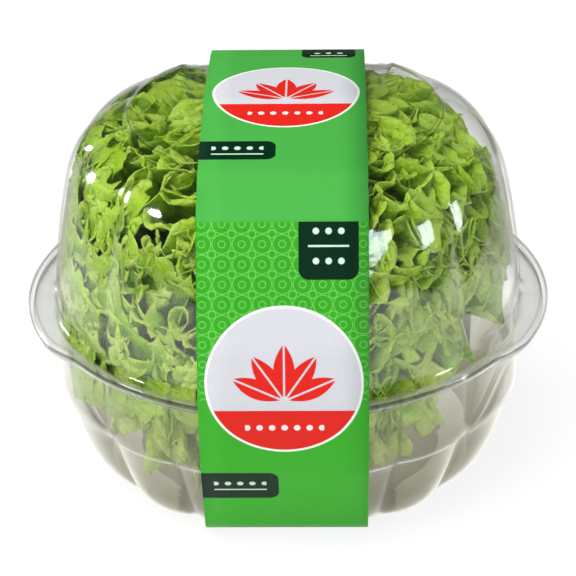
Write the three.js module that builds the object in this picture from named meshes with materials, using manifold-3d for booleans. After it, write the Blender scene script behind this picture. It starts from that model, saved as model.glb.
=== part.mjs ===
// A head of loose-leaf lettuce in its clear round pack: a domed lid, a tub and a paper band round both.
// Millimetres, +Z up. The origin is the bottom centre of the pack, and its front faces -Y.
import * as THREE from 'three';
import Module from 'manifold-3d';

const wasm = await Module();
wasm.setup();

const DEG = Math.PI / 180;

// Driving dimensions of the pack
const WALL = 0.8; // wall of the lid and the tub
const GAP = 0.3; // clearance between pieces that touch
const FLANGE_Z = 63.5; // plane where the lid lies on the tub
const FLANGE_R = 95.5; // outer radius of the flange
const EAR_R = 99.8; // outer radius of the two ears at the sides
const EAR_FULL = 26; // degrees either side of the X axis where an ear is at its full reach
const EAR_END = 38; // degrees where it has run out
const FLANGE_FRONT = 90.6; // the flange is cut straight here, front and back, where the band passes
const BEAD_RISE = 1.1; // raised bead along the flange's edge
const CENTRE_Z = 65; // height of the pack's middle, from which the band's channel is measured

// Paper band
const BAND_HALF = 30; // half of its width
const BAND_THICK = 0.6;

// Valleys between the lobes, in degrees from the side axis towards the front or the back
const WEDGE_LOW = 3; // half width of the narrow lobe at each side, low on the wall
const WEDGE_TOP = 16; // and at the cap ring
const WEDGE_FROM_Z = 112; // heights between which it widens
const WEDGE_TO_Z = 138;
const LOBE_FULLNESS = 0.65; // below 1, the lobes are flatter on top and the valleys narrower
const VALLEY_SIDE = 41;
const VALLEY_CHANNEL = 62;
// Columns of faces in the half wedge, the large lobe, the small lobe and half the front
const LOBE_STEPS = [1, 4, 3, 3];
const QUADRANT_STEPS = LOBE_STEPS.reduce((sum, n) => sum + n, 0);
const COLUMNS = 4 * QUADRANT_STEPS;
const CHANNEL_HALF = 34; // half width of the sunk channel under the band
const CHANNEL_SLOPE = 1.2; // rise of the channel's sides for each mm outwards

// The band's outer face from the top centre over the front and under the tub:
// [distance from the middle, height]
const BAND_FRONT = [
  [0, 143.4],
  [25.3, 140.8],
  [50, 137.3],
  [66.5, 128.5],
  [69.6, 125.6],
  [80.5, 103],
  [88, 85.1],
  [91.7, 66],
  [91.8, 55],
  [89.8, 37.2],
  [76.5, 5.5],
  [71.5, 0.4],
  [0, 0.4],
];
// The same over the back, where the paper bows out a little more over the shoulder
const BAND_BACK = [
  [0, 143.4],
  [30, 141.9],
  [50, 140.1],
  [61.5, 137.6],
  [69.5, 129.5],
  [80.5, 104],
  [88, 85.1],
  [91.7, 66],
  [91.8, 55],
  [89.8, 37.2],
  [76.5, 5.5],
  [71.5, 0.4],
  [0, 0.4],
];
// The wall of the lid and the tub under the band: [distance from the middle, height]
const CHANNEL = [
  [0, 142.2],
  [25.3, 139.5],
  [50, 136],
  [67.6, 125.4],
  [79, 103],
  [84, 84],
  [85.4, 66],
  [85.4, 58],
  [84.6, 36],
  [74.4, 5.8],
  [70.5, 1.5],
  [0, 1.5],
];

// Wall sections, outside face: radius, height and how deep the valleys are there
const LID_WALL = [
  { r: 18, z: 143.5, deep: 0 },
  { r: 34, z: 142.4, deep: 0 },
  { r: 46, z: 141.1, deep: 0 },
  { r: 57.5, z: 139.5, deep: 0 },
  { r: 60, z: 137.9, deep: 0.8 },
  { r: 70, z: 133.4, deep: 2 },
  { r: 76.8, z: 127.4, deep: 2.6 },
  { r: 80.8, z: 120, deep: 2.8 },
  { r: 83.4, z: 110.5, deep: 2.6 },
  { r: 86.2, z: 96, deep: 2.2 },
  { r: 88.4, z: 80, deep: 1.6 },
  { r: 89.5, z: 66.4, deep: 1 },
];
const LID_CROWN_Z = 143.9;
const TUB_WALL = [
  { r: 30, z: 2, deep: 0 },
  { r: 57, z: 2, deep: 0 },
  { r: 60, z: 0, deep: 1.5 },
  { r: 72, z: 0, deep: 3 },
  { r: 76.5, z: 2.4, deep: 3.8 },
  { r: 80.5, z: 8.5, deep: 4.2 },
  { r: 84.2, z: 18, deep: 4.2 },
  { r: 86.8, z: 27.5, deep: 3.4 },
  { r: 87.8, z: 31.2, deep: 2.4 },
  { r: 89.6, z: 33.4, deep: 1.4 },
  { r: 89.4, z: 47, deep: 1.2 },
  { r: 89.5, z: 60.4, deep: 0.8 },
];
const TUB_FLOOR_Z = 2;

// Flange sections, outside face: share of the way out from the wall, or mm in from the edge, with the height
const LID_FLANGE = [
  { out: 0.16, z: FLANGE_Z + 0.95 },
  { edge: 3.6, z: FLANGE_Z + 0.95 },
  { edge: 2.6, z: FLANGE_Z + 0.95 + BEAD_RISE },
  { edge: 0.9, z: FLANGE_Z + 0.95 + BEAD_RISE },
  { edge: 0, z: FLANGE_Z + 1.1 },
  { edge: 0, z: FLANGE_Z - 0.7 },
];
const TUB_FLANGE = [
  { out: 0.16, z: FLANGE_Z - 0.95 },
  { edge: 2.1, z: FLANGE_Z - 0.95 },
  { edge: 2.1, z: FLANGE_Z - 2.7 },
];
const FLANGE_FULL = 6; // flange width at which the bead has its full size

// Lettuce
const LEAVES = 50;
const LEAF_THICK = 0.8;
const LEAF_COLUMNS = 8;
const LEAF_ROWS = 2;
const LEAF_HALF_WIDTH = 22; // at the narrowest leaf
const LEAF_WIDER = 8; // and how much wider the widest one is
const LEAF_FOOT = 0.42; // a leaf's width at its root, as a share of that at its tip
const CORNER_SHORT = 0.24; // how much shorter a leaf is at its corners, as a share of its length
const CUP_DEEP = 5; // how far its corners bend back
const FRILL_HIGH = 3.4; // height of the waves along its free edge
const FRILL_INNER = 0.4; // and their share of it further in
const CUT_DEEP = 0.07; // how far the notches cut into it, as a share of its length
const HEAD_LOW = 120; // degrees from straight up to the lowest leaf tips
const CROWDING = 1.2; // above 1, the leaves stand closer together at the top
const LEAF_LEAN = 19; // degrees from a leaf's root up to its tip, at the least
const LEAN_MORE = 12; // and how much more some of them lean
const LEAF_ROLL = 35; // degrees that a leaf may be rolled either way about its length
const GOLDEN = 137.508; // degrees from one leaf to the next
const LEAF_ROOT = 0.6; // where the leaves start, as a share of the head's reach
const LEAF_CLEAR = 1.2; // gap kept between the leaves and the wall
const HANG = 0.17; // the lowest leaves reach this share further out at one side, and less across from it
const HANG_AT = 228; // azimuth of that side, in degrees
const HANG_FROM = 70; // degrees from straight up between which this sets in
const HANG_TO = 104;
const FIT_STEPS = 14; // halvings of the way when a leaf is drawn inside the pack
// The head's reach from the pack's middle: [degrees from straight up, mm]
const HEAD_REACH = [
  [0, 82],
  [28, 91],
  [45, 104],
  [60, 101],
  [75, 94],
  [88, 89],
  [100, 72],
  [116, 50],
  [140, 38],
  [180, 36],
];

// The dense inside of the head
const CORE_SHARE = 0.68; // its reach, against that of the leaf tips
const CORE_UNEVEN = 0.1;
const CORE_RINGS = 8;
const CORE_SIDES = 16;

// Cut stem, with its outline as [radius, height above its foot]
const STEM_FLOOR = TUB_FLOOR_Z + WALL + GAP;
const STEM_OUTLINE = [
  [13, 0],
  [14.5, 8],
  [17, 22],
  [16.5, 36],
  [10, 47],
];
const STEM_SIDES = 20;
const HOLE_BELOW = 20; // how far the stem's hole in the head runs on below the stem

const SMALLEST_EDGE = 0.01; // shorter edges are merged where the leaves are joined

const COLOURS = { plastic: 0xe9eeea, paper: 0x3fae2a, leaf: 0x7fae3a, stem: 0xdfe6c0 };

function smooth(from, to, x) {
  const t = THREE.MathUtils.clamp((x - from) / (to - from), 0, 1);
  return t * t * (3 - 2 * t);
}

// Linear reading of a table of [input, output] rows
function readTable(rows, x) {
  for (let i = 1; i < rows.length; i++) {
    if (x <= rows[i][0] || i === rows.length - 1) {
      const t = THREE.MathUtils.clamp((x - rows[i - 1][0]) / (rows[i][0] - rows[i - 1][0]), 0, 1);
      return rows[i - 1][1] + t * (rows[i][1] - rows[i - 1][1]);
    }
  }
  return rows[0][1];
}

// A repeatable number between 0 and 1 for a whole number and a channel
function pick(index, channel) {
  const wave = Math.sin(index * 12.9898 + channel * 78.233) * 43758.5453;
  return wave - Math.floor(wave);
}

// Distance from the pack's middle to an outline in the YZ plane, in the direction of (y, z)
function outlineReach(outline, y, z) {
  const across = Math.abs(y);
  const up = z - CENTRE_Z;
  const length = Math.hypot(across, up) || 1;
  const dy = across / length;
  const dz = up / length;
  for (let i = 1; i < outline.length; i++) {
    const [ay, az] = [outline[i - 1][0], outline[i - 1][1] - CENTRE_Z];
    const [by, bz] = [outline[i][0], outline[i][1] - CENTRE_Z];
    const sideA = dy * az - dz * ay;
    const sideB = dy * bz - dz * by;
    if (sideA >= 0 && sideB <= 0 && sideA !== sideB) {
      const t = sideA / (sideA - sideB);
      return Math.hypot(ay + t * (by - ay), az + t * (bz - az));
    }
  }
  return Math.hypot(outline[0][0], outline[0][1] - CENTRE_Z);
}

// How far from the pack's middle the wall may reach where the band passes, and beside it
function channelReach(x, y, z) {
  const beside = Math.max(0, Math.abs(x) - CHANNEL_HALF);
  return outlineReach(CHANNEL, y, z) + beside * CHANNEL_SLOPE;
}

// Presses a point of the wall into the channel under the band
function pressIn(x, y, z) {
  const limit = channelReach(x, y, z);
  const reach = Math.hypot(y, z - CENTRE_Z);
  if (reach <= limit) return [x, y, z];
  const k = limit / reach;
  return [x, y * k, CENTRE_Z + (z - CENTRE_Z) * k];
}

// Azimuth of a column of faces and how full the lobe is there, from 0 in a valley to 1 on its crest
function column(index, height) {
  const quadrant = Math.floor(index / QUADRANT_STEPS);
  const inside = index - quadrant * QUADRANT_STEPS;
  const mirrored = quadrant % 2 === 1;
  let step = mirrored ? QUADRANT_STEPS - inside : inside;
  const wedge = WEDGE_LOW + (WEDGE_TOP - WEDGE_LOW) * smooth(WEDGE_FROM_Z, WEDGE_TO_Z, height);
  const edges = [0, wedge, VALLEY_SIDE, VALLEY_CHANNEL, 90];
  let lobe = 0;
  while (lobe < LOBE_STEPS.length - 1 && step > LOBE_STEPS[lobe]) {
    step -= LOBE_STEPS[lobe];
    lobe += 1;
  }
  const t = step / LOBE_STEPS[lobe];
  const angle = edges[lobe] + t * (edges[lobe + 1] - edges[lobe]);
  const turn = lobe === 0 ? 0.5 + 0.5 * t : lobe === LOBE_STEPS.length - 1 ? 0.5 * t : t;
  const full = Math.pow(Math.max(0, Math.sin(Math.PI * turn)), LOBE_FULLNESS);
  const azimuth = mirrored ? (quadrant + 1) * 90 - angle : quadrant * 90 + angle;
  return { azimuth: azimuth * DEG, full };
}

function flangeRadius(azimuth) {
  const fromSide = Math.abs(Math.atan(Math.tan(azimuth))) / DEG;
  const round = EAR_R + (FLANGE_R - EAR_R) * smooth(EAR_FULL, EAR_END, fromSide);
  return Math.min(round, FLANGE_FRONT / Math.max(1e-6, Math.abs(Math.sin(azimuth))));
}

// The outside face of the lid or the tub, as rings of points from the pole to the flange's edge
function shellRings(wall, flange) {
  const rings = wall.map((row) => {
    const ring = [];
    for (let c = 0; c < COLUMNS; c++) {
      const { azimuth, full } = column(c, row.z);
      const r = row.r - row.deep * (1 - full);
      ring.push(pressIn(r * Math.cos(azimuth), r * Math.sin(azimuth), row.z));
    }
    return ring;
  });
  const foot = rings[rings.length - 1];
  for (const row of flange) {
    rings.push(foot.map(([x, y]) => {
      const azimuth = Math.atan2(y, x);
      const inner = Math.hypot(x, y);
      const outer = flangeRadius(azimuth);
      const scale = Math.min(1, (outer - inner) / FLANGE_FULL);
      const r = row.out === undefined ? outer - row.edge * scale : inner + row.out * (outer - inner);
      return [r * Math.cos(azimuth), r * Math.sin(azimuth), row.z];
    }));
  }
  return rings;
}

// The normals of a ringed surface with a pole, pointing away from the pack
function ringNormals(rings, pole, outwards) {
  const at = (i, c) => new THREE.Vector3(...(i < 0 ? pole : rings[i][(c + COLUMNS) % COLUMNS]));
  return rings.map((ring, i) => ring.map((_, c) => {
    const along = at(Math.min(i + 1, rings.length - 1), c).sub(at(i - 1, c));
    const around = at(i, c + 1).sub(at(i, c - 1));
    return along.cross(around).normalize().multiplyScalar(outwards);
  }));
}

// A closed shell: the outside rings, then the inside rings back to the pole
function shell(wall, flange, poleZ, up) {
  const rings = shellRings(wall, flange);
  const pole = pressIn(0, 0, poleZ);
  const normals = ringNormals(rings, pole, up);
  const inner = rings.map((ring, i) => ring.map((p, c) => {
    const n = normals[i][c];
    return [p[0] - WALL * n.x, p[1] - WALL * n.y, p[2] - WALL * n.z];
  }));
  const innerPole = [pole[0], pole[1], pole[2] - up * WALL];
  const loops = [...rings, ...inner.reverse()];
  const points = [pole, ...loops.flat(), innerPole];
  const faces = [];
  const at = (i, c) => 1 + i * COLUMNS + (c % COLUMNS);
  const last = points.length - 1;
  for (let c = 0; c < COLUMNS; c++) {
    faces.push([0, at(0, c), at(0, c + 1)]);
    for (let i = 1; i < loops.length; i++) {
      faces.push([at(i - 1, c), at(i, c), at(i, c + 1)]);
      faces.push([at(i - 1, c), at(i, c + 1), at(i - 1, c + 1)]);
    }
    faces.push([last, at(loops.length - 1, c + 1), at(loops.length - 1, c)]);
  }
  return solidOf(points, up > 0 ? faces : faces.map(([a, b, c]) => [a, c, b]));
}

function solidOf(points, faces) {
  return new wasm.Manifold(new wasm.Mesh({
    numProp: 3,
    vertProperties: new Float32Array(points.flat()),
    triVerts: new Uint32Array(faces.flat()),
  }));
}

// The band: a flat strip that follows its outline round the pack
function band() {
  const front = BAND_FRONT.map(([y, z]) => [-y, z]);
  const back = [...BAND_BACK].reverse();
  const outline = [...front, ...back.slice(1, -1)].map(([y, z]) => new THREE.Vector2(y, z));
  const points = [];
  outline.forEach((p, i) => {
    const before = outline[(i + outline.length - 1) % outline.length];
    const after = outline[(i + 1) % outline.length];
    const inFrom = p.clone().sub(before).normalize();
    const outTo = after.clone().sub(p).normalize();
    const inward = new THREE.Vector2(-inFrom.y - outTo.y, inFrom.x + outTo.x).normalize();
    const mitre = BAND_THICK / inward.dot(new THREE.Vector2(-inFrom.y, inFrom.x));
    const inner = p.clone().addScaledVector(inward, mitre);
    points.push([-BAND_HALF, p.x, p.y], [BAND_HALF, p.x, p.y]);
    points.push([BAND_HALF, inner.x, inner.y], [-BAND_HALF, inner.x, inner.y]);
  });
  const faces = [];
  for (let i = 0; i < outline.length; i++) {
    const a = 4 * i;
    const b = 4 * ((i + 1) % outline.length);
    for (let k = 0; k < 4; k++) {
      const n = (k + 1) % 4;
      faces.push([a + k, b + k, b + n], [a + k, b + n, a + n]);
    }
  }
  return outwardSolid(points, faces);
}

// A solid whose faces may have been listed either way round
function outwardSolid(points, faces) {
  const made = solidOf(points, faces);
  return made.volume() > 0 ? made : solidOf(points, faces.map(([a, b, c]) => [a, c, b]));
}

// True where a point lies inside the pack's walls with some room to spare, sideways and up or down
function insidePack([x, y, z], room) {
  const upper = z > FLANGE_Z;
  const table = (upper ? LID_WALL : TUB_WALL).map((row) => [row.z, row.r - row.deep]);
  if (upper) table.reverse();
  const margin = WALL + room;
  const level = upper ? z + margin : z - margin;
  if (level > LID_WALL[0].z || level < TUB_FLOOR_Z) return false;
  if (Math.hypot(x, y) > readTable(table, level) - margin) return false;
  return Math.hypot(y, z - CENTRE_Z) < channelReach(x, y, z) - margin;
}

// Draws a point towards the pack's middle until it lies inside the walls
function keepInside(point) {
  if (insidePack(point, LEAF_CLEAR)) return point;
  let low = 0;
  let high = 1;
  for (let i = 0; i < FIT_STEPS; i++) {
    const k = (low + high) / 2;
    const p = [point[0] * k, point[1] * k, CENTRE_Z + (point[2] - CENTRE_Z) * k];
    if (insidePack(p, LEAF_CLEAR)) low = k;
    else high = k;
  }
  return [point[0] * low, point[1] * low, CENTRE_Z + (point[2] - CENTRE_Z) * low];
}

// A point at a share of the head's reach, by its angle from straight up and its azimuth
function headPoint(fromTop, azimuth, share) {
  const hang = 1 + HANG * Math.cos((azimuth - HANG_AT) * DEG) * smooth(HANG_FROM, HANG_TO, fromTop);
  const reach = readTable(HEAD_REACH, fromTop) * share * hang;
  const out = reach * Math.sin(fromTop * DEG);
  const up = reach * Math.cos(fromTop * DEG);
  return [out * Math.cos(azimuth * DEG), out * Math.sin(azimuth * DEG), CENTRE_Z + up];
}

// One leaf end: a thin fan, waved and notched along its free edge
function leaf(index) {
  const lowest = 1 - Math.cos(HEAD_LOW * DEG);
  const tilt = Math.acos(1 - Math.pow((index + 0.6) / LEAVES, CROWDING) * lowest) / DEG;
  const turn = index * GOLDEN;
  const lean = LEAF_LEAN + LEAN_MORE * pick(index, 1);
  const tip = new THREE.Vector3(...headPoint(tilt, turn, 1));
  const root = new THREE.Vector3(...headPoint(tilt + lean, turn, LEAF_ROOT));
  const along = tip.clone().sub(root);
  const across = new THREE.Vector3(-Math.sin(turn * DEG), Math.cos(turn * DEG), 0);
  across.applyAxisAngle(along.clone().normalize(), (2 * pick(index, 2) - 1) * LEAF_ROLL * DEG);
  const face = new THREE.Vector3().crossVectors(along, across).normalize();
  const width = LEAF_HALF_WIDTH + LEAF_WIDER * pick(index, 3);
  const middle = [];
  for (let r = 0; r <= LEAF_ROWS; r++) {
    const s = r / LEAF_ROWS;
    for (let c = 0; c <= LEAF_COLUMNS; c++) {
      const u = (2 * c) / LEAF_COLUMNS - 1;
      const atEdge = r === LEAF_ROWS;
      const notch = atEdge && c % 2 === 1 ? CUT_DEEP : 0;
      const length = s * (1 - CORNER_SHORT * u * u - notch);
      const wave = FRILL_HIGH * s * s * (c % 2 === 0 ? 1 : -1) * (atEdge ? 1 : FRILL_INNER);
      const spread = width * u * (LEAF_FOOT + (1 - LEAF_FOOT) * Math.sqrt(s));
      const cup = -CUP_DEEP * u * u * s;
      const p = root.clone().addScaledVector(along, length);
      p.addScaledVector(across, spread).addScaledVector(face, wave + cup);
      middle.push(new THREE.Vector3(...keepInside(p.toArray())));
    }
  }
  return thicken(middle, LEAF_ROWS + 1, LEAF_COLUMNS + 1, LEAF_THICK);
}

// Gives a grid of points a thickness. Both faces are split along the same diagonals.
function thicken(middle, rows, columns, thick) {
  const { clamp } = THREE.MathUtils;
  const at = (r, c) => middle[clamp(r, 0, rows - 1) * columns + clamp(c, 0, columns - 1)];
  const offsets = middle.map((_, i) => {
    const r = Math.floor(i / columns);
    const c = i % columns;
    const down = at(r + 1, c).clone().sub(at(r - 1, c));
    const side = at(r, c + 1).clone().sub(at(r, c - 1));
    return side.cross(down).normalize().multiplyScalar(thick / 2);
  });
  const points = middle.map((p, i) => p.clone().add(offsets[i]).toArray());
  points.push(...middle.map((p, i) => p.clone().sub(offsets[i]).toArray()));
  const count = rows * columns;
  const faces = [];
  for (let r = 0; r + 1 < rows; r++) {
    for (let c = 0; c + 1 < columns; c++) {
      const [a, b] = [r * columns + c, r * columns + c + 1];
      const [d, e] = [a + columns, b + columns];
      faces.push([a, d, e], [a, e, b]);
      faces.push([count + a, count + e, count + d], [count + a, count + b, count + e]);
    }
  }
  const rim = [];
  for (let c = 0; c < columns - 1; c++) rim.push(c);
  for (let r = 0; r < rows - 1; r++) rim.push(r * columns + columns - 1);
  for (let c = columns - 1; c > 0; c--) rim.push((rows - 1) * columns + c);
  for (let r = rows - 1; r > 0; r--) rim.push(r * columns);
  rim.forEach((a, i) => {
    const b = rim[(i + 1) % rim.length];
    faces.push([a, b, count + b], [a, count + b, count + a]);
  });
  return outwardSolid(points, faces);
}

// The dense inside of the head, hidden by the leaf ends
function core() {
  const points = [headPoint(0, 0, CORE_SHARE)];
  for (let i = 1; i < CORE_RINGS; i++) {
    for (let c = 0; c < CORE_SIDES; c++) {
      const share = CORE_SHARE * (1 + CORE_UNEVEN * (pick(i * CORE_SIDES + c, 4) - 0.5));
      points.push(headPoint((i * 180) / CORE_RINGS, (c * 360) / CORE_SIDES, share));
    }
  }
  points.push(headPoint(180, 0, CORE_SHARE));
  return ringedSolid(points, CORE_SIDES);
}

// A solid from a first pole, rings of the same number of points, and a last pole
function ringedSolid(points, sides) {
  const rings = (points.length - 2) / sides;
  const at = (i, c) => 1 + i * sides + (c % sides);
  const faces = [];
  for (let c = 0; c < sides; c++) {
    faces.push([0, at(0, c), at(0, c + 1)]);
    for (let i = 1; i < rings; i++) {
      faces.push([at(i - 1, c), at(i, c), at(i, c + 1)], [at(i - 1, c), at(i, c + 1), at(i - 1, c + 1)]);
    }
    faces.push([points.length - 1, at(rings - 1, c + 1), at(rings - 1, c)]);
  }
  return outwardSolid(points, faces);
}

// The cut stem, turned from its outline, or the hole it stands in where there is room round it
function stem(room) {
  const top = STEM_OUTLINE.length - 1;
  const rows = STEM_OUTLINE.map(([r, height], i) => {
    const drop = i === 0 && room > 0 ? HOLE_BELOW : 0;
    const raise = i === top ? room : 0;
    return [r + room, STEM_FLOOR + height - drop + raise];
  });
  const points = [[0, 0, rows[0][1]]];
  for (const [r, z] of rows) {
    for (let c = 0; c < STEM_SIDES; c++) {
      const a = (c * 2 * Math.PI) / STEM_SIDES;
      points.push([r * Math.cos(a), r * Math.sin(a), z]);
    }
  }
  points.push([0, 0, rows[top][1]]);
  return ringedSolid(points, STEM_SIDES);
}

// The head: leaf ends fused to the core, with a plain hole for the stem. Loose scraps are dropped.
function head() {
  const pieces = [core()];
  for (let i = 0; i < LEAVES; i++) pieces.push(leaf(i));
  const fused = wasm.Manifold.union(pieces).subtract(stem(GAP));
  const bodies = fused.decompose().sort((a, b) => b.volume() - a.volume());
  return bodies[0].simplify(SMALLEST_EDGE);
}

function meshOf(name, solid, colour, roughness, opacity) {
  const { vertProperties, triVerts, numProp } = solid.getMesh();
  const count = vertProperties.length / numProp;
  const positions = new Float32Array(count * 3);
  for (let i = 0; i < count; i++) {
    positions.set(vertProperties.subarray(i * numProp, i * numProp + 3), i * 3);
  }
  const geometry = new THREE.BufferGeometry();
  geometry.setAttribute('position', new THREE.BufferAttribute(positions, 3));
  geometry.setIndex(new THREE.BufferAttribute(triVerts, 1));
  geometry.computeVertexNormals();
  const material = new THREE.MeshStandardMaterial({
    color: colour,
    roughness,
    metalness: 0,
    opacity,
    transparent: opacity < 1,
    flatShading: true,
  });
  const mesh = new THREE.Mesh(geometry, material);
  mesh.name = name;
  return mesh;
}

const pack = new THREE.Group();
pack.name = 'lettuce_pack';
pack.add(
  meshOf('lid', shell(LID_WALL, LID_FLANGE, LID_CROWN_Z, 1), COLOURS.plastic, 0.08, 0.25),
  meshOf('base', shell(TUB_WALL, TUB_FLANGE, TUB_FLOOR_Z, -1), COLOURS.plastic, 0.08, 0.25),
  meshOf('paper_band', band(), COLOURS.paper, 0.45, 1),
  meshOf('lettuce_head', head(), COLOURS.leaf, 0.55, 1),
  meshOf('lettuce_stem', stem(0), COLOURS.stem, 0.6, 1),
);

export default pack;
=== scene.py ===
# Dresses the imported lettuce: a clear lid and tub, a printed paper band, frilled leaves and a cut stem.
from math import acos, atan2, cos, degrees, floor, hypot, pi, radians, sin

import bpy
import numpy as np
from mathutils import Matrix, Vector


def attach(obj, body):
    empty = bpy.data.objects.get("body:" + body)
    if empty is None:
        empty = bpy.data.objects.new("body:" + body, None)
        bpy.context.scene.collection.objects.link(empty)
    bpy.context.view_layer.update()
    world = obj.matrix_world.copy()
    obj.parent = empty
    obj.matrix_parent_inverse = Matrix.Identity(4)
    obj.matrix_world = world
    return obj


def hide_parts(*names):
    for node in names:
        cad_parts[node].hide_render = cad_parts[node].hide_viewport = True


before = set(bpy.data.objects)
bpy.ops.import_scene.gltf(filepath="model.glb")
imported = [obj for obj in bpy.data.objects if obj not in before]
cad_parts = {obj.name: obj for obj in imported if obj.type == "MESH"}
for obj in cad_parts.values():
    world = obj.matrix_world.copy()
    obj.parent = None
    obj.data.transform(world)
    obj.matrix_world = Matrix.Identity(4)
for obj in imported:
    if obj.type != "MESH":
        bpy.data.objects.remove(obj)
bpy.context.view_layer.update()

MM = 0.001  # the pack is worked out in millimetres and made in metres
WHITE = (1, 1, 1, 1)

# Driving dimensions of the pack, in mm. The walls and the band are thinner than in the solids, and the
# channel is wider.
WALL = 0.5
FLANGE_Z = 63.5
FLANGE_R = 95.5
EAR_R = 99.8
EAR_FULL, EAR_END = 26, 38  # degrees from the X axis
FLANGE_FRONT = 90.6  # the flange is cut straight this far out under the band
FLANGE_FULL = 6  # its edge forms shrink where it is narrower than this
BEAD_RISE = 1.1
CENTRE_Z = 65
BAND_HALF = 30
BAND_THICK = 0.4
WEDGE_LOW, WEDGE_TOP = 3, 16  # degrees, half width of the narrow lobe at each side
WEDGE_FROM, WEDGE_TO = 112, 138  # the heights between which it widens
VALLEY_SIDE, VALLEY_CHANNEL = 41, 62  # degrees from the side axis
VALLEY_FADE = 80, 104  # the heights between which the valley next to the channel runs out on the lid
LOBE_ROUND = 0.65  # under 1, so that a lobe is full and a valley narrow
CHANNEL_HALF = 39.5
CHANNEL_SLOPE = 2.6  # how fast the wall rises out of the channel, against how far it is to the side

# The camera stands where the photograph was taken from
CAMERA_RISE = 28.25  # degrees above the horizon
CAMERA_TURN = 1.4  # degrees round the pack
CAMERA_ROLL = 0.9
CAMERA_LENS = 138.4
CAMERA_AT = (0, -754.2, 468.6)  # mm, before the turn

# Outlines in the YZ plane: distance from the middle, height
BAND_LOW = [(88, 85.1), (91.7, 66), (91.8, 55), (89.8, 37.2), (76.5, 5.5), (71.5, 0.4), (0, 0.4)]
BAND_FRONT = [(0, 143.4), (25.3, 140.8), (50, 137.3), (66.5, 128.5), (69.6, 125.6), (80.5, 103)] + BAND_LOW
BAND_BACK = [(0, 143.4), (30, 141.9), (50, 140.1), (61.5, 137.6), (69.5, 129.5), (80.5, 104)] + BAND_LOW
CHANNEL = [
    (0, 142.2), (25.3, 139.5), (50, 136), (67.6, 125.4), (79, 103), (84, 84), (85.4, 66), (85.4, 58),
    (84.6, 36), (74.4, 5.8), (70.5, 1.5), (0, 1.5),
]

# Wall sections: radius, height, depth of the valleys, and 1 at a crease
LID_WALL = [
    (0, 143.9, 0, 0), (18, 143.5, 0, 0), (34, 142.4, 0, 0), (46, 141.1, 0, 0),
    (56.9, 139.55, 0, 1), (57.5, 140, 0, 0), (58.3, 139.5, 0, 1), (60, 137.9, 0.8, 1),
    (70, 133.4, 2, 0), (76.8, 127.4, 2.6, 0), (80.8, 120, 2.8, 0), (83.4, 110.5, 2.6, 0),
    (86.2, 96, 2.2, 0), (88.4, 80, 1.6, 0), (89.5, 66.4, 1, 1),
]
TUB_WALL = [
    (0, 2, 0, 0), (30, 2, 0, 0), (57, 2, 0, 1), (60, 0, 1.5, 1), (72, 0, 3, 0),
    (76.5, 2.4, 3.8, 0), (80.5, 8.5, 4.2, 0), (84.2, 18, 4.2, 0), (86.8, 27.5, 3.4, 0),
    (87.8, 31.2, 2.4, 1), (89.6, 33.4, 1.4, 1), (89.4, 47, 1.2, 0), (89.5, 60.4, 0.8, 1),
]
# Flange sections: how the place is given, its value, the height and how dark a painted line the bend gets
LID_SEAT, TUB_SEAT = FLANGE_Z + 0.95, FLANGE_Z - 0.95
LID_FLANGE = [
    ("out", 0.16, LID_SEAT, 0.3), ("edge", 3.6, LID_SEAT, 0), ("edge", 2.9, FLANGE_Z + 1.7, 0.8),
    ("edge", 2.3, LID_SEAT + BEAD_RISE, 0), ("edge", 1.2, LID_SEAT + BEAD_RISE, 0),
    ("edge", 0.5, FLANGE_Z + 1.7, 0), ("edge", 0, FLANGE_Z + 1.0, 0.95), ("edge", 0, FLANGE_Z - 0.7, 0.8),
]
TUB_FLANGE = [("out", 0.16, TUB_SEAT, 0), ("edge", 2.1, TUB_SEAT, 0), ("edge", 2.1, FLANGE_Z - 2.7, 0.85)]
# Sharp bends in the walls that are painted as dark lines on the clear plastic, standing in for the light the
# bend turns aside: radius, height and how dark
LID_LINES = [(57, 139.7, 0.7), (58.7, 139.1, 1)]
TUB_LINES = [(87.9, 31.4, 0.6), (89.6, 33.4, 0.75), (60, 0.2, 0.5)]
LINE_REACH = 0.7  # a line fades out this far from its bend
# How dark the painted line down each valley is, at the side and next to the channel
LID_VALLEYS = (0.5, 0)
TUB_VALLEYS = (0.6, 0.8)
DEEP_VALLEY = 0.7  # a valley is marked where it is deeper than this

# The lugs on the lid: top, foot, half width, how far they stand out, and how far out their corners are
LUG_TOP, LUG_FOOT, LUG_HALF, LUG_OUT = 83, 70.5, 2.5, 2.2
LUG_CORNER, LUG_APEX, LUG_END = 86, 86.6, 88.3
# A lug is painted darker towards its corners, standing in for the light its faces turn aside
LUG_LINES = (0.95, 0.95, 0.6, 0.95)  # how dark each of a lug's corners is

# Lettuce
GOLDEN = 137.508  # degrees from one leaf to the next
# Degrees from straight up to the lowest leaf tips, by azimuth
HEAD_LOW = [
    (0, 77), (25, 76), (50, 90), (90, 102), (180, 106), (215, 118), (240, 122), (262, 118),
    (286, 107), (298, 96), (308, 80), (318, 73), (334, 74), (350, 77), (360, 77),
]
# How steeply a leaf rises towards its tip, in degrees, by the tip's angle from straight up
LEAF_RISE = [(0, 86), (30, 79), (60, 64), (75, 50), (84, 15), (92, -30), (105, -55), (130, -72)]
FULL_HANG = 94  # where the lowest leaves end higher than this tilt, those above them hang sooner
LEAF_LENGTH = 38
LEAF_THICK = 0.3
CROWDING = 1.1  # over 1, so that the leaves stand closer at the top
LEAVES = 240
TIERS = 4
LEAF_VARIANTS = 10
BROAD_VARIANTS = 4
SOLID_WALL = 0.8  # the walls of the solids, which the leaves keep clear of too
TUB_FLOOR = 2  # height of the tub's floor outside
LEAF_CLEAR = 0.6  # gap kept between the leaves and the wall
HALVINGS = 18  # steps in the search for where a leaf meets the wall
SOFT_FROM = 0.94  # leaves are pressed gently from this share of the way out
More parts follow.
